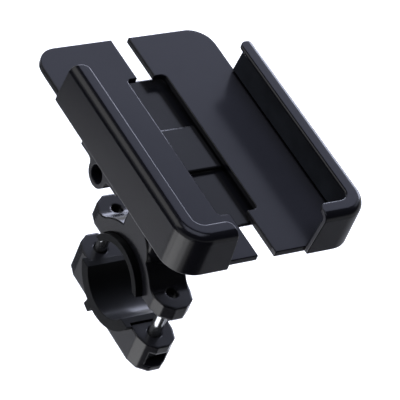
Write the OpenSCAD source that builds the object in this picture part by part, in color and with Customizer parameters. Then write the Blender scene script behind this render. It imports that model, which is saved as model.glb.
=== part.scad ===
// Phone mount for a handlebar: two self-centring jaws on a swivelling carriage,
// carried by a split clamp with rubber liners.
// Millimetres, +Z up. The origin is the middle of the handlebar, which lies along X.
// The top of the phone points to +Y.

/* [Handlebar clamp] */
// Diameter of the handlebar that the liners close on
bar_d = 31.8; // [30:0.1:34]
// Thickness of the rubber liners
liner_t = 2.85; // [2.4:0.05:3.2]
// Width of the liners along the bar
liner_w = 22.6; // [20:0.2:26]
// Height of the lower liner's rim over the clamp's bore
liner_rim = 1.7; // [1:0.1:2.2]
// Width of both clamp halves along the bar
clamp_w = 17; // [15:0.5:19]
// Thickness of the upper half's arch
arch_t = 6; // [5:0.1:7]
// Distance between the two clamp screws
screw_pitch = 46.3; // [45.6:0.1:50]
// Height of the split face of the upper half over the bar's axis
upper_split = 8; // [7:0.1:8.8]
// Thickness of the upper ears
upper_ear_t = 6.6; // [5.6:0.1:7]
// Drop of the split face of the lower half under the bar's axis
lower_split = 8.1; // [7:0.1:9]
// Thickness of the metal under the bore of the lower half
lower_floor = 3.2; // [2.4:0.1:4]
// Thickness of the seat that the clamp screw's head pulls on
seat_t = 4; // [3:0.1:4.4]
// Radius of the hollow corner between an upper ear and the arch
ear_fillet = 7; // [3:0.1:8]

/* [Clamp screws] */
// Thread diameter of the clamp screws
screw_d = 5; // [4.5:0.1:5.4]
// Length of the clamp screws under the head
screw_l = 25; // [23:0.5:26]
// Diameter of the screw heads
screw_head_d = 8.5; // [8:0.1:9]
// Height of the screw heads
screw_head_h = 5; // [4:0.1:5.4]
// Thickness of the washers under the heads
screw_washer_t = 1; // [0.6:0.1:1.2]

/* [Swivel] */
// Diameter of the swivel post and of the hub on it
post_d = 26; // [24:0.5:28]
// Height of the post's top face over the bar's axis
post_h = 44; // [42:0.5:46]
// Width across the flats at the foot of the post
post_flat = 16; // [14:0.5:16.5]
// Radius of the round crown that carries the post
crown_r = 11.7; // [10:0.1:12.4]
// Height of the crown's centre over the bar's axis
crown_z = 20.2; // [19:0.1:21]
// Distance from the middle to the flat back of the crown and the post's foot
crown_back = 8.1; // [7:0.1:9]
// Diameter of the swivel bolt
bolt_d = 6; // [5:0.5:6.5]
// Thickness of the friction washer
friction_t = 1.5; // [1:0.1:2]
// Thickness of the spring washer
spring_t = 1.5; // [1:0.1:1.8]

/* [Jaws] */
// Clear width between the walls of the two jaws
phone_w = 80.2; // [78:0.2:84]
// Length of the jaw plates
plate_l = 117.4; // [112:0.5:124]
// Thickness of the jaw plates
plate_t = 2.6; // [2.2:0.1:3]
// Height of the plates' top face over the bar's axis
plate_z = 74.3; // [74:0.1:78]
// Gap between the two plates
plate_gap = 7.9; // [7.4:0.1:9]
// Width of the slot that the two plates leave in the middle
slot_w = 17.9; // [14:0.1:22]
// Length of the slot
slot_l = 73.5; // [66:0.5:78]
// Radius of the plates' free outer corners
plate_corner = 9.75; // [6:0.25:12]
// Thickness of the walls and lips
wall_t = 1.8; // [1.5:0.1:2.2]
// Height of the straight part of the wall over the plate
wall_h = 13.7; // [12:0.1:16]
// Outer bend radius at the top of the wall
bend_r = 3.3; // [2.8:0.1:3.8]
// Reach of the lip over the phone
lip_reach = 5.6; // [5:0.1:6.4]
// Radius of the inside of the wall round the lower corner
corner_r = 10; // [9:0.25:12]
// How far the wall runs up the side from the middle
wall_up = 34.4; // [30:0.2:40]
// Distance from the middle plane to the end of the lower wall
wall_in = 18; // [17:0.1:20]
// Lean of the wall's two ends, in degrees
wall_lean = 6; // [0:1:10]
// Radius of the lip's free corners
lip_corner = 4; // [2:0.25:4.5]
// Thickness of the rubber pads
pad_t = 1.1; // [0.8:0.1:1.6]
// Height of the rubber pads
pad_h = 11; // [9:0.2:12]
// Height of the groove between plate and pad
pad_lift = 0.7; // [0.4:0.1:1]

/* [Carriage and drive] */
// Length of the carriage along the phone
carriage_l = 79.4; // [78:0.2:84]
// Width of the carriage across the phone
carriage_w = 32; // [30:0.5:32.5]
// Thickness of the carriage's floor
floor_t = 2.2; // [1.8:0.1:2.6]
// Height of the raised roof over the floor
roof_rise = 2; // [1.6:0.1:2.2]
// Length of the raised roof along the phone
roof_l = 22.3; // [20:0.1:26]
// Depth of the lead screw's axis under the plates' top face
drive_drop = 8.7; // [8.6:0.1:9.2]
// Diameter of the lead screw
drive_d = 6; // [5:0.2:6]
// Length of the lead screw
drive_l = 66; // [64:0.5:70]
// Outer diameter of the nuts
nut_d = 8.8; // [8.4:0.1:8.9]
// Length of the nuts
nut_l = 19; // [17:0.5:19.5]
// Distance from the middle plane to the inner end of a nut
nut_in = 11; // [10.5:0.1:12]
// Diameter of the guide rods
rod_d = 5; // [4:0.2:5.4]
// Distance between the guide rods
rod_pitch = 54; // [50:0.5:58]
// Length of the guide rods
rod_l = 67; // [66:0.5:69]
// Depth of the guide rods' axes under the lead screw's axis
rod_drop = 0.9; // [0.8:0.1:1.6]
// Wall of the guide bushes
bush_t = 0.9; // [0.7:0.1:1.2]

/* [Slides] */
// Distance from the middle plane to the outer face of the slide
slide_out = 39.7; // [39:0.1:40]
// Distance from the middle plane to the inner face of the slide
slide_in = 20; // [19.8:0.1:20.6]
// Width of the cross bar of the slide
bar_w = 8; // [7:0.5:9]
// Length of the slide's flange along the phone
flange_l = 28.2; // [27:0.2:30]
// Thickness of the slide's flange
flange_t = 3.9; // [3.4:0.1:4.4]
// Outer diameter of the lug
lug_d = 11.4; // [11.2:0.1:12]
// Diameter of the key hole in the lug
key_hole_d = 7.6; // [7:0.1:8]
// Thread diameter of the screws between slide and jaw
fix_d = 3; // [2.6:0.1:3.2]

/* [Hidden] */
$fn = 72;

// Clearances
run_gap = 0.05;   // round running fits
face_gap = 0.1;   // faces that turn on each other
slide_gap = 0.3;  // between the jaws and the carriage
seat_gap = 0.05;  // round pieces seated in their own part
eps = 0.1;        // overshoot of cuts

// Clamp
bar_r = bar_d / 2;
liner_out_r = bar_r + liner_t;
bore_r = liner_out_r + seat_gap;
rim_r = bore_r + liner_rim;
rim_w = (liner_w - clamp_w) / 2 - seat_gap;
arch_r = bore_r + arch_t;
ear_r = clamp_w / 2;
screw_y = screw_pitch / 2;
upper_ear_top = upper_split + upper_ear_t;
lower_bottom = -(bore_r + lower_floor);
lower_liner_rise = 0.9;
seat_z = -lower_split - seat_t;
head_top = seat_z - screw_washer_t - run_gap;
pocket_r = screw_head_d / 2 + 0.45;
pocket_h = screw_washer_t + screw_head_h + 1.3;
hole_play = 1;
clearance_hole_d = screw_d + hole_play;
key_af = 0.8 * screw_d;
tab_angle = -74;
tab_w = 4;
tab_h = 3.4;

// Swivel
bolt_r = bolt_d / 2;
bolt_head_over = 4;
bolt_head_d = bolt_d + bolt_head_over;
bolt_head_h = bolt_d;
bolt_grip = 11;
bolt_floor = bore_r + bolt_head_h + spring_t + 0.7;
bolt_head_top = bolt_floor - spring_t - run_gap;
washer_play = 0.2;
post_collar = 7.7;
post_flare_z = post_h - post_collar;
hub_z = post_h + friction_t + face_gap;

// Jaws
plate_bottom = plate_z - plate_t;
plate_in = plate_gap / 2;
plate_out = phone_w / 2;
plate_half = plate_l / 2;
bend_in_r = bend_r - wall_t;
slot_corner = 2;
foot = 2;
bend_overlap = 3;
pad_end = 0.8;

// Carriage and drive
roof_z = plate_bottom - slide_gap;
floor_z = roof_z - roof_rise;
floor_end = 0.7;
drive_z = plate_z - drive_drop;
drive_r = drive_d / 2;
nut_r = nut_d / 2;
tunnel_r = nut_r + 0.4;
tunnel_wall = 2.6;
belly_r = tunnel_r + tunnel_wall;
web_w = 8;
collar_w = 2;
collar_r = nut_r;
rod_r = rod_d / 2;
rod_y = rod_pitch / 2;
rod_z = drive_z - rod_drop;
bush_r = rod_r + run_gap + bush_t;
rod_boss_r = bush_r + seat_gap + 0.9;

// Slides
slide_bottom = plate_bottom - flange_t;
bar_out = slide_in + bar_w;
lug_r = lug_d / 2;
lug_fillet = 2.5;
fix_head_d = 2 * fix_d;
fix_depth = plate_t - 0.6;
fix_x = [(bar_out + slide_out) / 2, slide_in + bar_w / 2];
fix_y = [flange_l / 2 - fix_head_d / 2 - 0.8, rod_y - rod_boss_r - fix_head_d / 2 - 0.8];

// Draws its 2D children in the Y-Z plane and extrudes them along X, from x0 to x1.
module along_x(x0, x1) {
    translate([x0, 0, 0])
        rotate([90, 0, 90])
            linear_extrude(x1 - x0)
                children();
}

// A round bar along X, from x0 to x1.
module bar_x(r, x0, x1) {
    translate([x0, 0, 0])
        rotate([0, 90, 0])
            cylinder(r = r, h = x1 - x0);
}

// A tube along Z.
module tube_z(r_out, r_in, h) {
    difference() {
        cylinder(r = r_out, h = h);
        translate([0, 0, -eps])
            cylinder(r = r_in, h = h + 2 * eps);
    }
}

// A tube along X, from x0 to x1.
module tube_x(r_out, r_in, x0, x1) {
    difference() {
        bar_x(r_out, x0, x1);
        bar_x(r_in, x0 - eps, x1 + eps);
    }
}

// A hexagon socket along Z, measured across its flats.
module hex_socket(af, h) {
    cylinder(d = af / cos(30), h = h, $fn = 6);
}

// What a rounding takes off the corner of a plane shape that fills x < 0, y < 0.
module corner_cut(r) {
    difference() {
        translate([-r, -r])
            square([r + eps, r + eps]);
        translate([-r, -r])
            circle(r);
    }
}

// A rectangle with round corners, centred.
module rounded_rect(w, h, r) {
    square([w - 2 * r, h], center = true);
    square([w, h - 2 * r], center = true);
    for (x = [-1, 1], y = [-1, 1])
        translate([x * (w / 2 - r), y * (h / 2 - r)])
            circle(r);
}

// Hollow corners of radius r on both sides, between a level edge at height z
// and a circle of radius rc round the point (0, zc). side is 1 above and -1 below the edge.
module hollow_corners(r, z, rc, zc, side) {
    cz = z + side * r;
    cy = sqrt((rc + r) * (rc + r) - (cz - zc) * (cz - zc));
    far = side > 0 ? min(zc, z) - 1 : max(zc, z) + 1;
    for (m = [0, 1])
        mirror([m, 0])
            difference() {
                polygon([[0, zc], [cy, cz], [cy, far], [0, far]]);
                translate([cy, cz])
                    circle(r);
            }
}

// A boss with a round lower half round the point (y, z), hung from the height top.
module hung_boss(y, z, r, top) {
    translate([y, z])
        difference() {
            circle(r);
            translate([-2 * r, 0])
                square(4 * r);
        }
    translate([y - r, z - eps])
        square([2 * r, top - z + eps]);
}

// Plan of the clamp: straight sides, and half a ten-sided end round each screw.
module clamp_plan() {
    square([clamp_w, screw_pitch], center = true);
    for (y = [-1, 1])
        translate([0, y * screw_y])
            circle(ear_r, $fn = 10);
}

// Side view of the crown: round in front, square behind up to its flat back.
module crown_profile() {
    intersection() {
        circle(crown_r);
        translate([-2 * crown_r, -crown_r])
            square(2 * crown_r);
    }
    square([crown_back, crown_r]);
}

// Side view of the upper half between its ears: the arch, the crown and the hollow corners.
module upper_profile() {
    difference() {
        union() {
            circle(arch_r);
            translate([0, crown_z])
                crown_profile();
            hollow_corners(ear_fillet, upper_ear_top, arch_r, 0, 1);
        }
        translate([-2 * arch_r, upper_split - 4 * arch_r])
            square(4 * arch_r);
    }
}

// The swivel post: round, with flats at its foot that lie just inside the crown's sides.
module post() {
    flat_x = post_flat / 2;
    top_x = flat_x + post_d;
    difference() {
        intersection() {
            translate([0, 0, crown_z])
                cylinder(d = post_d, h = post_h - crown_z);
            rotate([90, 0, 0])
                linear_extrude(2 * post_d, center = true)
                    polygon([
                        [-flat_x, 0], [flat_x, 0], [flat_x, post_flare_z],
                        [top_x, post_flare_z + post_d], [-top_x, post_flare_z + post_d],
                        [-flat_x, post_flare_z]
                    ]);
        }
        translate([-post_d, crown_back, 0])
            cube([2 * post_d, post_d, crown_z + crown_r]);
    }
}

module clamp_upper_half() {
    color("#3b3c42")
        difference() {
            union() {
                along_x(-clamp_w / 2, clamp_w / 2)
                    upper_profile();
                translate([0, 0, upper_split])
                    linear_extrude(upper_ear_t)
                        clamp_plan();
                post();
            }
            for (y = [-1, 1])
                translate([0, y * screw_y, upper_split - eps])
                    cylinder(r = screw_d / 2 + run_gap, h = arch_r);
            bar_x(bore_r, -post_d, post_d);
            cylinder(d = bolt_head_d + 1, h = bolt_floor);
            cylinder(r = bolt_r + run_gap, h = post_h + eps);
        }
}

// The pocket of one screw head: round at the screw and open at the ear's end.
module head_pocket() {
    translate([0, 0, seat_z - pocket_h]) {
        cylinder(r = pocket_r, h = pocket_h);
        translate([-pocket_r, 0, 0])
            cube([2 * pocket_r, 2 * ear_r, pocket_h]);
    }
}

module clamp_lower_half() {
    color("#3b3c42")
        difference() {
            translate([0, 0, lower_bottom])
                linear_extrude(-lower_split - lower_bottom)
                    clamp_plan();
            bar_x(bore_r, -clamp_w, clamp_w);
            for (m = [0, 1])
                mirror([0, m, 0])
                    translate([0, screw_y, 0]) {
                        head_pocket();
                        translate([0, 0, seat_z - eps])
                            cylinder(d = clearance_hole_d, h = seat_t + 2 * eps);
                        translate([0, 0, lower_bottom - eps])
                            cylinder(d = screw_d, h = seat_z - pocket_h - lower_bottom + 2 * eps);
                    }
        }
}

// A liner over its full turn: the sleeve in the bore.
module liner_ring() {
    tube_x(liner_out_r, bar_r, -liner_w / 2, liner_w / 2);
}

// The half space above height z, as large as the clamp needs.
module above(z) {
    translate([-liner_w, -2 * arch_r, z])
        cube([2 * liner_w, 4 * arch_r, 2 * arch_r]);
}

module liner_upper() {
    color("#1e1f21")
        intersection() {
            liner_ring();
            above(upper_split);
        }
}

module liner_lower() {
    color("#1e1f21") {
        difference() {
            union() {
                liner_ring();
                for (m = [0, 1])
                    mirror([m, 0, 0])
                        tube_x(rim_r, bar_r, liner_w / 2 - rim_w, liner_w / 2);
            }
            above(-lower_split + lower_liner_rise);
        }
        along_x(-liner_w / 2, -liner_w / 2 + rim_w)
            rotate(tab_angle)
                translate([rim_r - 1, -tab_w / 2])
                    square([tab_h + 1, tab_w]);
    }
}

// One clamp screw, head down, at the side y of the clamp.
module clamp_screw(y) {
    translate([0, y, 0])
        difference() {
            union() {
                translate([0, 0, head_top])
                    cylinder(d = screw_d, h = screw_l);
                translate([0, 0, head_top - screw_head_h])
                    cylinder(d = screw_head_d, h = screw_head_h);
            }
            translate([0, 0, head_top - screw_head_h - eps])
                hex_socket(key_af, screw_head_h / 2);
        }
}

module clamp_screw_front() {
    color("#b9bcc0")
        clamp_screw(-screw_y);
}

module clamp_screw_rear() {
    color("#b9bcc0")
        clamp_screw(screw_y);
}

module clamp_screw_washers() {
    color("#a9acb0")
        for (y = [-1, 1])
            translate([0, y * screw_y, seat_z - screw_washer_t])
                tube_z(screw_head_d / 2 + 0.15, screw_d / 2 + washer_play, screw_washer_t);
}

module swivel_bolt() {
    color("#b9bcc0")
        difference() {
            union() {
                translate([0, 0, bolt_head_top - bolt_head_h])
                    cylinder(d = bolt_head_d, h = bolt_head_h);
                translate([0, 0, bolt_head_top - eps])
                    cylinder(r = bolt_r, h = hub_z + bolt_grip - bolt_head_top);
            }
            translate([0, 0, bolt_head_top - bolt_head_h - eps])
                hex_socket(bolt_d - 1, bolt_head_h / 2);
        }
}

module swivel_friction_washer() {
    color("#d8d4c4")
        translate([0, 0, post_h])
            tube_z(post_d / 2 - 0.5, bolt_r + washer_play, friction_t);
}

module swivel_spring_washer() {
    color("#8f9296")
        translate([0, 0, bolt_floor - spring_t])
            tube_z(bolt_head_d / 2, bolt_r + washer_play, spring_t);
}

// End view of the carriage: thin floor with undercut ends, raised roof,
// belly round the lead screw and a boss round each guide rod.
module carriage_profile() {
    floor_bottom = floor_z - floor_t;
    undercut = carriage_l / 2 - (floor_t - floor_end);
    polygon([
        [-carriage_l / 2, floor_z], [carriage_l / 2, floor_z],
        [carriage_l / 2, floor_z - floor_end], [undercut, floor_bottom],
        [-undercut, floor_bottom], [-carriage_l / 2, floor_z - floor_end]
    ]);
    translate([-roof_l / 2, floor_bottom])
        square([roof_l, roof_z - floor_bottom]);
    hung_boss(0, drive_z, belly_r, floor_z - floor_end);
    for (y = [-1, 1])
        hung_boss(y * rod_y, rod_z, rod_boss_r, floor_z - floor_end);
}

module carriage_body() {
    color("#3f4048")
        difference() {
            union() {
                along_x(-carriage_w / 2, carriage_w / 2)
                    carriage_profile();
                translate([0, 0, hub_z])
                    cylinder(d = post_d, h = drive_z - hub_z);
            }
            translate([0, 0, drive_z]) {
                bar_x(drive_r + run_gap, -carriage_w, carriage_w);
                for (m = [0, 1])
                    mirror([m, 0, 0])
                        bar_x(tunnel_r, web_w / 2, carriage_w);
            }
            for (y = [-1, 1])
                translate([0, y * rod_y, rod_z])
                    bar_x(rod_r + seat_gap, -carriage_w, carriage_w);
            translate([0, 0, hub_z - eps])
                cylinder(r = bolt_r + seat_gap, h = bolt_grip + 2 * eps);
        }
}

module guide_rods() {
    color("#c4c7ca")
        for (y = [-1, 1])
            translate([0, y * rod_y, rod_z])
                bar_x(rod_r, -rod_l / 2, rod_l / 2);
}

module lead_screw() {
    color("#c4c7ca")
        translate([0, 0, drive_z])
            difference() {
                bar_x(drive_r, -drive_l / 2, drive_l / 2);
                for (m = [0, 1])
                    mirror([m, 0, 0])
                        translate([drive_l / 2 + eps, 0, 0])
                            rotate([0, -90, 0])
                                hex_socket(drive_d / 2, drive_d);
            }
}

module thrust_collars() {
    color("#9a9da1")
        translate([0, 0, drive_z])
            for (m = [0, 1])
                mirror([m, 0, 0])
                    tube_x(
                        collar_r, drive_r + seat_gap,
                        web_w / 2 + run_gap, web_w / 2 + run_gap + collar_w
                    );
}

// Section of wall and lip. The origin is where the wall's inner face meets the plate's top;
// x points outward and y up.
module wall_profile() {
    bend = [-bend_in_r, wall_h];
    translate([-foot, -plate_t])
        square([foot + wall_t, plate_t]);
    translate([0, -plate_t])
        square([wall_t, plate_t + wall_h]);
    intersection() {
        translate(bend)
            difference() {
                circle(bend_r);
                circle(bend_in_r);
            }
        translate(bend)
            polygon([
                [0, 0], [2 * bend_r, 0], [2 * bend_r, 2 * bend_r],
                [-2 * bend_r * tan(bend_overlap), 2 * bend_r]
            ]);
    }
    translate([-lip_reach + wall_t / 2, wall_h + bend_in_r]) {
        square([lip_reach - wall_t / 2 - bend_in_r, wall_t]);
        translate([0, wall_t / 2])
            circle(wall_t / 2);
    }
}

// Runs a section along a jaw's edge: down the side, round the lower corner and along the bottom.
// up and inner are where the run starts on the side and ends on the bottom.
module along_jaw_edge(up, inner) {
    cx = plate_out - corner_r;
    cy = -(plate_half - corner_r);
    translate([plate_out, up, plate_z])
        rotate([90, 0, 0])
            linear_extrude(up - cy)
                children();
    translate([cx, cy, plate_z])
        rotate([0, 0, -90])
            rotate_extrude(angle = 90)
                translate([corner_r, 0])
                    children();
    translate([inner, -plate_half, plate_z])
        rotate([90, 0, 90])
            mirror([1, 0])
                linear_extrude(cx - inner)
                    children();
}

// What the lean takes off the two ends of a run along a jaw's edge.
module leaning_ends(up, inner) {
    reach = 2 * (lip_reach + wall_t);
    tall = 2 * wall_h;
    translate([plate_out - reach / 2, up, plate_z])
        rotate([wall_lean, 0, 0])
            cube([reach, tall, tall]);
    translate([inner, -plate_half - reach / 2, plate_z])
        rotate([0, wall_lean, 0])
            translate([-tall, 0, 0])
                cube([tall, reach, tall]);
}

// Plan of the right plate with its half of the slot.
module plate_plan() {
    difference() {
        translate([plate_in, -plate_half])
            square([plate_out - plate_in, plate_l]);
        rounded_rect(slot_w, slot_l, slot_corner);
        translate([plate_out, plate_half])
            corner_cut(plate_corner);
        translate([plate_out, -plate_half])
            mirror([0, 1])
                corner_cut(corner_r);
    }
}

// The right jaw; the left one is its mirror image.
module jaw() {
    lip_edge = plate_out - lip_reach;
    lip_low = -plate_half + lip_reach;
    lean = (wall_h + bend_in_r) * tan(wall_lean);
    difference() {
        union() {
            translate([0, 0, plate_bottom])
                linear_extrude(plate_t)
                    plate_plan();
            along_jaw_edge(wall_up, wall_in)
                wall_profile();
        }
        leaning_ends(wall_up, wall_in);
        translate([0, 0, plate_z + wall_h - bend_r])
            linear_extrude(4 * bend_r) {
                translate([lip_edge, wall_up - lean])
                    mirror([1, 0])
                        corner_cut(lip_corner);
                translate([wall_in + lean, lip_low])
                    mirror([1, 0])
                        corner_cut(lip_corner);
            }
        for (i = [0, 1], y = [-1, 1])
            translate([fix_x[i], y * fix_y[i], plate_bottom - eps])
                cylinder(r = fix_d / 2 + seat_gap, h = fix_depth + eps);
    }
}

module pad() {
    difference() {
        along_jaw_edge(wall_up - pad_end, wall_in + pad_end)
            translate([-pad_t - seat_gap, pad_lift])
                square([pad_t, pad_h]);
        leaning_ends(wall_up - pad_end, wall_in + pad_end);
    }
}

// End view of the slide's outer part: flange, lug and the hollow corners between them.
module flange_profile() {
    translate([-flange_l / 2, slide_bottom])
        square([flange_l, flange_t]);
    translate([0, drive_z])
        circle(lug_r);
    hollow_corners(lug_fillet, slide_bottom, lug_r, drive_z, -1);
}

// End view of the cross bar with a boss round each guide rod.
module cross_bar_profile() {
    translate([-rod_y - rod_boss_r, slide_bottom])
        square([2 * (rod_y + rod_boss_r), flange_t]);
    translate([0, drive_z])
        circle(lug_r);
    hollow_corners(lug_fillet, slide_bottom, lug_r, drive_z, -1);
    for (y = [-1, 1])
        hung_boss(y * rod_y, rod_z, rod_boss_r, slide_bottom + eps);
}

// One countersunk screw between slide and jaw, from below. grow widens it into its own hole.
module fix_screw(grow) {
    cone_h = (fix_head_d - fix_d) / 2;
    translate([0, 0, slide_bottom]) {
        cylinder(r1 = fix_head_d / 2 + grow, r2 = fix_d / 2 + grow, h = cone_h);
        cylinder(r = fix_d / 2 + grow, h = flange_t + fix_depth - 0.3);
    }
}

module slide() {
    difference() {
        union() {
            along_x(bar_out, slide_out)
                flange_profile();
            along_x(slide_in, bar_out)
                cross_bar_profile();
        }
        translate([0, 0, drive_z]) {
            bar_x(nut_r + seat_gap, slide_in - eps, nut_in + nut_l + seat_gap);
            bar_x(key_hole_d / 2, slide_in - eps, slide_out + eps);
        }
        for (y = [-1, 1])
            translate([0, y * rod_y, rod_z])
                bar_x(bush_r + seat_gap, slide_in - eps, bar_out + eps);
        for (i = [0, 1], y = [-1, 1])
            translate([fix_x[i], y * fix_y[i], 0])
                fix_screw(seat_gap);
    }
}

module nut() {
    translate([0, 0, drive_z])
        tube_x(nut_r, drive_r + run_gap, nut_in, nut_in + nut_l);
}

module bushes() {
    for (y = [-1, 1])
        translate([0, y * rod_y, rod_z])
            tube_x(bush_r, rod_r + run_gap, slide_in, bar_out);
}

module slide_screws() {
    for (i = [0, 1], y = [-1, 1])
        translate([fix_x[i], y * fix_y[i], 0])
            fix_screw(0);
}

module right_jaw() {
    color("#41424a")
        jaw();
}

module right_pad() {
    color("#26272a")
        pad();
}

module right_slide() {
    color("#36373c")
        slide();
}

module right_nut() {
    color("#b89b5a")
        nut();
}

module right_bushes() {
    color("#a07a48")
        bushes();
}

module right_slide_screws() {
    color("#b9bcc0")
        slide_screws();
}

module left_jaw() {
    color("#41424a")
        mirror([1, 0, 0])
            jaw();
}

module left_pad() {
    color("#26272a")
        mirror([1, 0, 0])
            pad();
}

module left_slide() {
    color("#36373c")
        mirror([1, 0, 0])
            slide();
}

module left_nut() {
    color("#b89b5a")
        mirror([1, 0, 0])
            nut();
}

module left_bushes() {
    color("#a07a48")
        mirror([1, 0, 0])
            bushes();
}

module left_slide_screws() {
    color("#b9bcc0")
        mirror([1, 0, 0])
            slide_screws();
}

clamp_upper_half();
clamp_lower_half();
liner_upper();
liner_lower();
clamp_screw_front();
clamp_screw_rear();
clamp_screw_washers();
swivel_bolt();
swivel_friction_washer();
swivel_spring_washer();
carriage_body();
guide_rods();
lead_screw();
thrust_collars();
left_jaw();
left_pad();
left_slide();
left_nut();
left_bushes();
left_slide_screws();
right_jaw();
right_pad();
right_slide();
right_nut();
right_bushes();
right_slide_screws();
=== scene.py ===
"""Finishes, studio and camera for the phone handlebar mount."""

from __future__ import annotations

import logging
import math
from dataclasses import dataclass
from enum import Enum
from typing import Any, Union

import bpy
from mathutils import Matrix, Vector


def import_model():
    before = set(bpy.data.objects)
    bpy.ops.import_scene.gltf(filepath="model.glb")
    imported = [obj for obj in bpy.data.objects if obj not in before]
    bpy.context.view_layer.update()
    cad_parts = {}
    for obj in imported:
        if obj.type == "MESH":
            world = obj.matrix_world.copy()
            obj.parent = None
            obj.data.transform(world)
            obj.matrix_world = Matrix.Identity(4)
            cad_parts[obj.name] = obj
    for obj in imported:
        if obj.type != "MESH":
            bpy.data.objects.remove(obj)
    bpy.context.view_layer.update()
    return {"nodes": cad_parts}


LOG = logging.getLogger("phone_mount")
MM = 0.001
Colour = tuple[float, float, float]
Term = Union["Signal", float]

COOL: Colour = (0.90, 0.95, 1.2)
# Painted colours: the shade painted into hollows, and the tints of the painted light on level
# faces and on the wall's cut ends.
HOLLOW_SHADE: Colour = (0.001, 0.001, 0.0012)
TOP_LIGHT_TINT: Colour = (0.95, 0.97, 1.2)
END_LIGHT_TINT: Colour = (1.0, 1.0, 1.14)
NYLON_WARMTH: Colour = (0.95, 0.9, 0.8)
BEVEL_SAMPLES = 8
HOLLOW_SAMPLES = 12
HOLLOW_REACH = 2.0 * MM
WALL_END = (-56.5 * MM, -55.5 * MM)
COAT_ROUGHNESS = 0.24
SENSOR_WIDTH = 36.0


def tinted(colour: Colour, tint: Colour) -> Colour:
    """A colour times a tint, part by part."""
    return tuple(part * tone for part, tone in zip(colour, tint))


def grey(level: float) -> Colour:
    """A neutral colour."""
    return (level, level, level)


class Side(Enum):
    """The two halves of the holder."""

    LEFT = "left"
    RIGHT = "right"


class Signal:
    """A shader socket that can be used in Python arithmetic."""

    def __init__(self, graph: ShaderGraph, socket: bpy.types.NodeSocket | None) -> None:
        """Wraps a socket.

        Args:
            graph: The graph that owns the socket's node.
            socket: The output socket, or None for a node without outputs.
        """
        self.graph = graph
        self.socket = socket

    def _math(self, operation: str, first: Term, second: Term) -> Signal:
        """Adds one Math node.

        Args:
            operation: The Math node's operation.
            first: Its first value.
            second: Its second value.

        Returns:
            The node's value.
        """
        return self.graph.node("ShaderNodeMath", {"operation": operation}, {0: first, 1: second})

    def __add__(self, other: Term) -> Signal:
        """Sum of two values."""
        return self._math("ADD", self, other)

    def __radd__(self, other: float) -> Signal:
        """Sum with a number on the left."""
        return self._math("ADD", other, self)

    def __sub__(self, other: Term) -> Signal:
        """Difference of two values."""
        return self._math("SUBTRACT", self, other)

    def __rsub__(self, other: float) -> Signal:
        """Difference from a number on the left."""
        return self._math("SUBTRACT", other, self)

    def __mul__(self, other: Term) -> Signal:
        """Product of two values."""
        return self._math("MULTIPLY", self, other)

    def __rmul__(self, other: float) -> Signal:
        """Product with a number on the left."""
        return self._math("MULTIPLY", other, self)

    def smaller(self, other: Term) -> Signal:
        """The smaller of two values."""
        return self._math("MINIMUM", self, other)

    def step(self, low: float, high: float) -> Signal:
        """A smooth step from 0 to 1.

        Args:
            low: The value that gives 0.
            high: The value that gives 1.

        Returns:
            The smoothed value.
        """
        return self.graph.node(
            "ShaderNodeMapRange",
            {"interpolation_type": "SMOOTHSTEP"},
            {"Value": self, "From Min": low, "From Max": high},
        )


class ShaderGraph:
    """The node tree of a material or a world."""

    def __init__(self, tree: bpy.types.NodeTree) -> None:
        """Takes over a tree and empties it.

        Args:
            tree: The node tree.
        """
        self.tree = tree
        tree.nodes.clear()

    def node(
        self,
        kind: str,
        settings: dict[str, Any] | None = None,
        inputs: dict[str | int, Any] | None = None,
        output: str | int = 0,
    ) -> Signal:
        """Adds any node.

        Args:
            kind: The node's type.
            settings: Its properties, set first.
            inputs: Values or signals of its sockets, by name or place.
            output: The output that is returned, by name or place.

        Returns:
            The wanted output, which is empty for a node that has none.
        """
        made = self.tree.nodes.new(kind)
        for name, value in (settings or {}).items():
            setattr(made, name, value)
        for name, value in (inputs or {}).items():
            if isinstance(value, Signal):
                self.tree.links.new(value.socket, made.inputs[name])
            else:
                made.inputs[name].default_value = value
        return Signal(self, made.outputs[output] if made.outputs else None)

    def place(self) -> Signal:
        """The point of the object, in metres."""
        return self.node("ShaderNodeTexCoord", output="Object")

    def noise(self, scale: float, detail: float = 2.0, rough: float = 0.5) -> Signal:
        """Noise over the object.

        Args:
            scale: Grains per metre.
            detail: Octaves.
            rough: Weight of the finer octaves.

        Returns:
            A value around 0.5.
        """
        return self.node(
            "ShaderNodeTexNoise",
            None,
            {"Vector": self.place(), "Scale": scale, "Detail": detail, "Roughness": rough},
            "Fac",
        )

    def axis(self, name: str) -> Signal:
        """One coordinate of the object's point, in metres.

        Args:
            name: X, Y or Z.

        Returns:
            The coordinate.
        """
        return self.node("ShaderNodeSeparateXYZ", None, {0: self.place()}, name)

    def facing(self, name: str) -> Signal:
        """One part of the surface's normal, in the object's own axes.

        Args:
            name: X, Y or Z.

        Returns:
            The part, from -1 to 1.
        """
        normal = self.node("ShaderNodeTexCoord", output="Normal")
        return self.node("ShaderNodeSeparateXYZ", None, {0: normal}, name)

    def blend(self, share: Term, first: Any, second: Any) -> Signal:
        """Mixes two colours.

        Args:
            share: Share of the second colour.
            first: Colour or signal.
            second: Colour or signal.

        Returns:
            The mixed colour.
        """
        def full(value: Any) -> Any:
            """A colour with its alpha."""
            return value if isinstance(value, Signal) else (*value, 1.0)

        return self.node(
            "ShaderNodeMix",
            {"data_type": "RGBA"},
            {0: share, 6: full(first), 7: full(second)},
            2,
        )

    def bump(
        self, height: Signal, depth: float, strength: float = 1.0, edge: float = 0.0
    ) -> Signal:
        """A bump normal.

        Args:
            height: Height of the surface from 0 to 1.
            depth: Depth of a full step, in metres.
            strength: Share of the bump that shows.
            edge: Radius of the broken edges, in metres; 0 leaves them sharp.

        Returns:
            The normal.
        """
        inputs: dict[str | int, Any] = {
            "Height": height,
            "Distance": depth,
            "Strength": strength,
        }
        if edge:
            inputs["Normal"] = self.node(
                "ShaderNodeBevel", {"samples": BEVEL_SAMPLES}, {"Radius": edge}, "Normal"
            )
        return self.node("ShaderNodeBump", None, inputs, "Normal")


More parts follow.
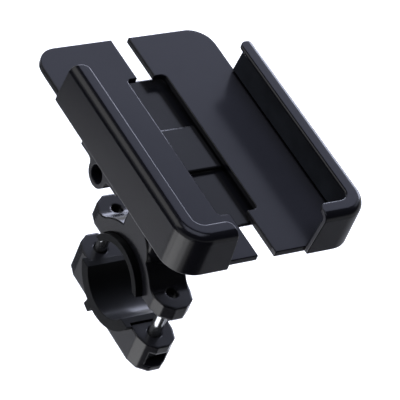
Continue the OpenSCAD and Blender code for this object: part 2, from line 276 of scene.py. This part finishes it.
@dataclass(frozen=True)
class Finish:
    """What all the finishes share."""

    name: str
    colour: Colour
    roughness: float

    def material(self) -> bpy.types.Material:
        """Makes the material.

        Returns:
            The material, or the one made before.
        """
        found = bpy.data.materials.get(self.name)
        if found:
            return found
        made = bpy.data.materials.new(self.name)
        made.use_nodes = True
        graph = ShaderGraph(made.node_tree)
        inputs: dict[str, Any] = self.inputs(graph)
        shader = graph.node("ShaderNodeBsdfPrincipled", None, inputs)
        graph.node("ShaderNodeOutputMaterial", None, {"Surface": shader})
        made.diffuse_color = (*self.colour, 1.0)
        return made

    def inputs(self, graph: ShaderGraph) -> dict[str, Any]:
        """Values of the shader's sockets.

        Args:
            graph: The material's graph.

        Returns:
            Socket names and their values.
        """
        raise NotImplementedError


@dataclass(frozen=True)
class AnodisedFinish(Finish):
    """Black anodised aluminium with a fine blasted grain.

    Attributes:
        grain: Grains per metre.
        depth: Depth of the grain, in metres.
        edge: Radius of the edges that are broken in shading, in metres.
        top_light: Brightness of the painted light on level faces, or 0 for none; a value above 0
            also paints shade into the hollows.
        end_light: Brightness of the painted reflection on the wall's cut ends, or 0 for none.
        specular: Strength of the mirror reflection.
    """

    grain: float = 5200.0
    depth: float = 0.0007 * MM
    edge: float = 0.0
    top_light: float = 0.0
    end_light: float = 0.0
    specular: float = 0.2

    def inputs(self, graph: ShaderGraph) -> dict[str, Any]:
        """Values of the shader's sockets (see Finish.inputs)."""
        cloud = graph.noise(55.0, 3.0)
        grain = graph.noise(self.grain, 2.0)
        lighter = tinted(self.colour, grey(1.06))
        darker = tinted(self.colour, grey(0.95))
        colour = graph.blend(cloud.step(0.3, 0.7), darker, lighter)
        # Painted light: level faces are made paler, and painted shade darkens the hollows.
        if self.top_light:
            upward = graph.facing("Z").step(0.985, 0.9995)
            paler = tinted(TOP_LIGHT_TINT, grey(self.top_light))
            # Painted shade: where the occlusion node finds a hollow, the colour goes to near
            # black.
            openness = graph.node(
                "ShaderNodeAmbientOcclusion",
                {"samples": HOLLOW_SAMPLES},
                {"Distance": HOLLOW_REACH},
                "AO",
            )
            colour = graph.blend(upward * (0.8 + 0.4 * cloud), colour, paler)
            colour = graph.blend(1.0 - openness.step(0.5, 0.95), colour, HOLLOW_SHADE)
        # Painted reflection: faces turned to either side at the wall's front end are made paler.
        if self.end_light:
            sideways = graph.facing("X")
            low = 1.0 - graph.axis("Y").step(*WALL_END)
            ends = (sideways * sideways).step(0.85, 0.97) * low
            colour = graph.blend(ends, colour, tinted(END_LIGHT_TINT, grey(self.end_light)))
        return {
            "Base Color": colour,
            "Roughness": self.roughness + 0.02 * (grain - 0.5),
            "Specular IOR Level": self.specular,
            "Normal": graph.bump(grain, self.depth, 0.5, self.edge),
        }


@dataclass(frozen=True)
class RubberFinish(Finish):
    """Matt moulded rubber.

    Attributes:
        grain: Grains per metre.
        depth: Depth of the grain, in metres.
        gloss: Coat on faces towards the phone's top, or 0 for none.
    """

    grain: float = 2600.0
    depth: float = 0.03 * MM
    gloss: float = 0.0

    def inputs(self, graph: ShaderGraph) -> dict[str, Any]:
        """Values of the shader's sockets (see Finish.inputs)."""
        cloud = graph.noise(90.0, 3.0)
        grain = graph.noise(self.grain, 3.0)
        paler = tinted(self.colour, grey(1.5))
        values: dict[str, Any] = {
            "Base Color": graph.blend(cloud.step(0.35, 0.75), self.colour, paler),
            "Roughness": self.roughness + 0.12 * (grain - 0.5),
            "Specular IOR Level": 0.09,
            "Normal": graph.bump(grain, self.depth),
        }
        if self.gloss:
            values["Coat Weight"] = self.gloss * graph.facing("Y").step(0.0, 0.5)
            values["Coat Roughness"] = COAT_ROUGHNESS
        return values


@dataclass(frozen=True)
class TurnedFinish(Finish):
    """Turned metal: fine rings across one axis."""

    axis: str = "Z"
    ring: float = 0.12 * MM
    depth: float = 0.006 * MM

    def inputs(self, graph: ShaderGraph) -> dict[str, Any]:
        """Values of the shader's sockets (see Finish.inputs)."""
        along = graph.axis(self.axis)
        wander = graph.noise(700.0, 2.0)
        rings = graph.node(
            "ShaderNodeMath",
            {"operation": "SINE"},
            {0: along * (2 * math.pi / self.ring) + 5.0 * wander},
        )
        dull = tinted(self.colour, grey(0.72))
        return {
            "Base Color": graph.blend(wander.step(0.3, 0.8), self.colour, dull),
            "Metallic": 0.88,
            "Roughness": self.roughness + 0.1 * (wander - 0.5),
            "Normal": graph.bump(0.5 + 0.5 * rings, self.depth, 0.6),
        }


@dataclass(frozen=True)
class NylonFinish(Finish):
    """Natural nylon."""

    def inputs(self, graph: ShaderGraph) -> dict[str, Any]:
        """Values of the shader's sockets (see Finish.inputs)."""
        cloud = graph.noise(300.0, 3.0)
        warm = tinted(self.colour, NYLON_WARMTH)
        return {
            "Base Color": graph.blend(cloud, self.colour, warm),
            "Roughness": self.roughness + 0.1 * (cloud - 0.5),
            "Normal": graph.bump(cloud, 0.02 * MM),
        }


ALUMINIUM = AnodisedFinish(
    "black anodised aluminium", (0.0075, 0.0075, 0.0105), 0.21, edge=0.6 * MM
)
# Painted light on level faces and on the wall's cut ends, painted shade in the hollows.
JAW = AnodisedFinish(
    "black aluminium with painted light",
    (0.0045, 0.0045, 0.0063),
    0.21,
    edge=0.7 * MM,
    top_light=0.027,
    end_light=0.058,
)
# Painted light on level faces, painted shade in the hollows.
CLAMP = AnodisedFinish(
    "black cast aluminium", (0.006, 0.006, 0.008), 0.22, edge=1.2 * MM, top_light=0.018
)
# Painted light on level faces, painted shade in the hollows.
CARRIAGE = AnodisedFinish(
    "deep black aluminium",
    (0.0035, 0.0035, 0.0048),
    0.2,
    edge=1.1 * MM,
    top_light=0.005,
    specular=0.29,
)
RUBBER = RubberFinish("black rubber", (0.0025, 0.0028, 0.0034), 0.58, gloss=0.42)
PAD = RubberFinish("pad rubber", (0.0115, 0.013, 0.017), 0.6)
STEEL = TurnedFinish("turned steel", (0.36, 0.37, 0.39), 0.1, depth=0.002 * MM)
ROD_STEEL = TurnedFinish("ground rod steel", (0.60, 0.61, 0.63), 0.22, "X")
BRASS = TurnedFinish("turned brass", (0.72, 0.55, 0.27), 0.28, "X")
NYLON = NylonFinish("natural nylon", (0.72, 0.70, 0.64), 0.5)


@dataclass
class Assembly:
    """A group of CAD nodes that are dressed together."""

    nodes: dict[str, bpy.types.Object]
    edge_angle: float = 26.0
    edge_steps: int = 3
    weld: float = 0.12 * MM
    flatness: float = 0.3

    def soften(self, name: str, width: float) -> None:
        """Breaks a node's sharp edges.

        Args:
            name: The node.
            width: Width of the broken edge, in metres.
        """
        piece = self.nodes[name]
        weld = piece.modifiers.new("joined corners", "WELD")
        weld.merge_threshold = self.weld
        flat = piece.modifiers.new("whole faces", "DECIMATE")
        flat.decimate_type = "DISSOLVE"
        flat.angle_limit = math.radians(self.flatness)
        bevel = piece.modifiers.new("broken edges", "BEVEL")
        bevel.width = width
        bevel.segments = self.edge_steps
        bevel.limit_method = "ANGLE"
        bevel.angle_limit = math.radians(self.edge_angle)
        bevel.use_clamp_overlap = False
        normals = piece.modifiers.new("even shading", "WEIGHTED_NORMAL")
        normals.weight = 50
        normals.keep_sharp = False

    def paint(self, name: str, finish: Finish) -> None:
        """Gives a node its finish.

        Args:
            name: The node.
            finish: The finish.
        """
        piece = self.nodes[name]
        material = finish.material()
        if not piece.data.materials:
            piece.data.materials.append(material)
        for slot in piece.material_slots:
            slot.link = "OBJECT"
            slot.material = material
        LOG.info("%s: %s", name, finish.name)


@dataclass
class Jaw(Assembly):
    """One jaw with its pad, slide and the small parts of the slide."""

    side: Side = Side.LEFT
    lip_edge: float = 0.36 * MM

    def dress(self) -> None:
        """Finishes the jaw's nodes."""
        side = self.side.value
        self.soften(f"{side}_jaw", self.lip_edge)
        self.paint(f"{side}_jaw", JAW)
        self.paint(f"{side}_slide", ALUMINIUM)
        self.paint(f"{side}_pad", PAD)
        self.paint(f"{side}_nut", BRASS)
        self.paint(f"{side}_bushes", BRASS)
        self.paint(f"{side}_slide_screws", STEEL)


@dataclass
class Carriage(Assembly):
    """The middle body with the rods and the lead screw."""

    def dress(self) -> None:
        """Finishes the carriage's nodes."""
        self.paint("carriage_body", CARRIAGE)
        self.paint("guide_rods", ROD_STEEL)
        self.paint("lead_screw", ROD_STEEL)
        self.paint("thrust_collars", ROD_STEEL)


@dataclass
class HandlebarClamp(Assembly):
    """The split clamp, its liners, screws and swivel."""

    liner_edge: float = 0.2 * MM

    def dress(self) -> None:
        """Finishes the clamp's nodes."""
        for half in ("clamp_upper_half", "clamp_lower_half"):
            self.paint(half, CLAMP)
        for liner in ("liner_upper", "liner_lower"):
            self.soften(liner, self.liner_edge)
            self.paint(liner, RUBBER)
        for part in (
            "clamp_screw_front",
            "clamp_screw_rear",
            "clamp_screw_washers",
            "swivel_bolt",
            "swivel_spring_washer",
        ):
            self.paint(part, STEEL)
        self.paint("swivel_friction_washer", NYLON)


@dataclass(frozen=True)
class Stand:
    """Something of the studio that faces the holder from a direction."""

    name: str
    azimuth: float
    elevation: float
    distance: float
    size: tuple[float, float]

    def hang(self, data: bpy.types.ID, target: Vector) -> bpy.types.Object:
        """Hangs a lamp or a card, unseen by the camera.

        Args:
            data: The lamp or the card's mesh.
            target: The point it faces.

        Returns:
            The object.
        """
        az, el = math.radians(self.azimuth), math.radians(self.elevation)
        towards = Vector((math.cos(az) * math.cos(el), math.sin(az) * math.cos(el), math.sin(el)))
        holder = bpy.data.objects.new(self.name, data)
        bpy.context.scene.collection.objects.link(holder)
        holder.location = target + towards * self.distance
        holder.rotation_mode = "QUATERNION"
        holder.rotation_quaternion = (-towards).to_track_quat("-Z", "Y")
        holder.visible_camera = False
        return holder


@dataclass(frozen=True)
class Softbox(Stand):
    """A rectangular lamp."""

    radiance: float = 1.0
    colour: Colour = (1.0, 1.0, 1.0)

    def place(self, target: Vector) -> None:
        """Hangs the lamp.

        Args:
            target: The point it faces.
        """
        lamp = bpy.data.lights.new(self.name, "AREA")
        lamp.shape = "RECTANGLE"
        lamp.size, lamp.size_y = self.size
        lamp.energy = self.radiance * math.pi * self.size[0] * self.size[1]
        lamp.color = self.colour
        self.hang(lamp, target)


@dataclass(frozen=True)
class Flag(Stand):
    """A dark or grey card that the part reflects."""

    tone: float = 0.01

    def place(self, target: Vector) -> None:
        """Hangs the card.

        Args:
            target: The point it faces.
        """
        x, y = self.size[0] / 2, self.size[1] / 2
        mesh = bpy.data.meshes.new(self.name)
        mesh.from_pydata([(-x, -y, 0), (x, -y, 0), (x, y, 0), (-x, y, 0)], [], [(0, 1, 2, 3)])
        material = bpy.data.materials.new(self.name)
        material.use_nodes = True
        graph = ShaderGraph(material.node_tree)
        shader = graph.node("ShaderNodeBsdfDiffuse", None, {"Color": (*grey(self.tone), 1.0)})
        graph.node("ShaderNodeOutputMaterial", None, {"Surface": shader})
        mesh.materials.append(material)
        card = self.hang(mesh, target)
        card.visible_shadow = False


@dataclass
class Studio:
    """Floor, sky, lamps and the camera at the photograph's place."""

    floor_z: float = -0.35
    floor_size: float = 8.0
    floor_glow: float = 0.57
    sky_colour: Colour = (0.93, 0.95, 1.0)
    sky_low: float = 0.9
    sky_drop: float = 0.84
    lens: float = 252.0
    camera_at: tuple[float, float, float] = (-0.585529, -0.573015, 0.749256)
    camera_axes: tuple[Colour, Colour, Colour] = (
        (0.821319, 0.146714, -0.551280),
        (-0.477750, 0.704999, -0.524147),
        (0.311753, 0.693867, 0.649122),
    )
    target: tuple[float, float, float] = (0.0, 0.0, 0.05)
    lamps: tuple[Softbox, ...] = (
        Softbox("back panel", 44.0, 35.6, 1.5, (2.4, 0.5), 1.1, COOL),
        Softbox("left panel", 138.0, 34.0, 1.2, (1.2, 0.85), 2.55),
        Softbox("overhead panel", 225.0, 84.0, 1.3, (0.9, 0.9), 3.0, COOL),
        Softbox("front panel, left end", 173.5, -40.0, 0.47, (0.107, 0.28), 2.7),
        Softbox("front panel", 197.0, -40.0, 0.47, (0.193, 0.28), 3.8),
        Softbox("front panel, right end", 218.5, -40.0, 0.47, (0.082, 0.28), 2.6),
        Softbox("front panel, right margin", 231.5, -40.0, 0.455, (0.082, 0.28), 1.1),
        Softbox("rim panel", 42.0, 11.0, 1.2, (1.3, 0.42), 7.5, COOL),
    )
    flags: tuple[Flag, ...] = (
        Flag("front flag", 263.0, -25.0, 0.465, (0.535, 0.5)),
        Flag("left flag", 145.0, -17.0, 0.6, (0.7, 0.4)),
        Flag("rear flag", 100.5, -44.0, 0.5, (0.26, 0.3), 0.17),
        Flag("right flag", 350.0, -38.0, 0.5, (0.9, 0.36), 0.62),
    )

    def build(self) -> None:
        """Makes the whole studio."""
        self.floor()
        self.sky()
        for part in (*self.lamps, *self.flags):
            part.place(Vector(self.target))
        self.camera()

    def floor(self) -> None:
        """Lays the pale floor."""
        half = self.floor_size / 2
        mesh = bpy.data.meshes.new("floor")
        corners = [(-half, -half), (half, -half), (half, half), (-half, half)]
        mesh.from_pydata([(x, y, self.floor_z) for x, y in corners], [], [(0, 1, 2, 3)])
        floor = bpy.data.objects.new("floor", mesh)
        bpy.context.scene.collection.objects.link(floor)
        material = bpy.data.materials.new("pale floor")
        material.use_nodes = True
        graph = ShaderGraph(material.node_tree)
        seen = self.seen(graph)
        paint = graph.node(
            "ShaderNodeBsdfPrincipled",
            None,
            {
                "Base Color": (0.8, 0.8, 0.8, 1.0),
                "Roughness": 0.9,
                "Specular IOR Level": 0.1,
                "Emission Color": graph.blend(seen, (0.0, 0.0, 0.0), (1.0, 1.0, 1.0)),
                "Emission Strength": self.floor_glow,
            },
        )
        clear = graph.node("ShaderNodeBsdfTransparent")
        under = graph.node("ShaderNodeNewGeometry", output="Backfacing")
        surface = graph.node("ShaderNodeMixShader", None, {0: under, 1: paint, 2: clear})
        graph.node("ShaderNodeOutputMaterial", None, {"Surface": surface})
        mesh.materials.append(material)

    @staticmethod
    def seen(graph: ShaderGraph) -> Signal:
        """Mask of the rays that show the background.

        Args:
            graph: The graph it is used in.

        Returns:
            1 for camera, glossy and transmission rays.
        """
        rays = [
            graph.node("ShaderNodeLightPath", output=name)
            for name in ("Is Camera Ray", "Is Glossy Ray", "Is Transmission Ray")
        ]
        return (rays[0] + rays[1] + rays[2]).smaller(1.0)

    def sky(self) -> None:
        """Makes the world: pale up to just above the horizon, dim higher up."""
        world = bpy.data.worlds.new("studio")
        bpy.context.scene.world = world
        world.use_nodes = True
        graph = ShaderGraph(world.node_tree)
        way = graph.node("ShaderNodeTexCoord", output="Generated")
        height = graph.node("ShaderNodeSeparateXYZ", None, {0: way}, "Z")
        level = self.sky_low - self.sky_drop * height.step(0.06, 0.2)
        light = graph.node(
            "ShaderNodeBackground", None, {"Color": (*self.sky_colour, 1.0), "Strength": level}
        )
        graph.node("ShaderNodeOutputWorld", None, {"Surface": light})

    def camera(self) -> None:
        """Sets the camera at the photograph's place."""
        data = bpy.data.cameras.new("camera")
        data.lens = self.lens
        data.sensor_width = SENSOR_WIDTH
        holder = bpy.data.objects.new("camera", data)
        bpy.context.scene.collection.objects.link(holder)
        turn = Matrix(self.camera_axes).to_4x4()
        holder.matrix_world = Matrix.Translation(Vector(self.camera_at)) @ turn
        bpy.context.scene.camera = holder


def main() -> None:
    """Builds the dressed mount and its studio."""
    logging.basicConfig(level=logging.INFO, format="%(message)s")
    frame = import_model()
    nodes = frame["nodes"]
    bpy.context.scene.view_settings.view_transform = "Standard"
    Studio().build()
    for side in Side:
        Jaw(nodes, side=side).dress()
    Carriage(nodes).dress()
    HandlebarClamp(nodes).dress()


if __name__ == "__main__":
    main()
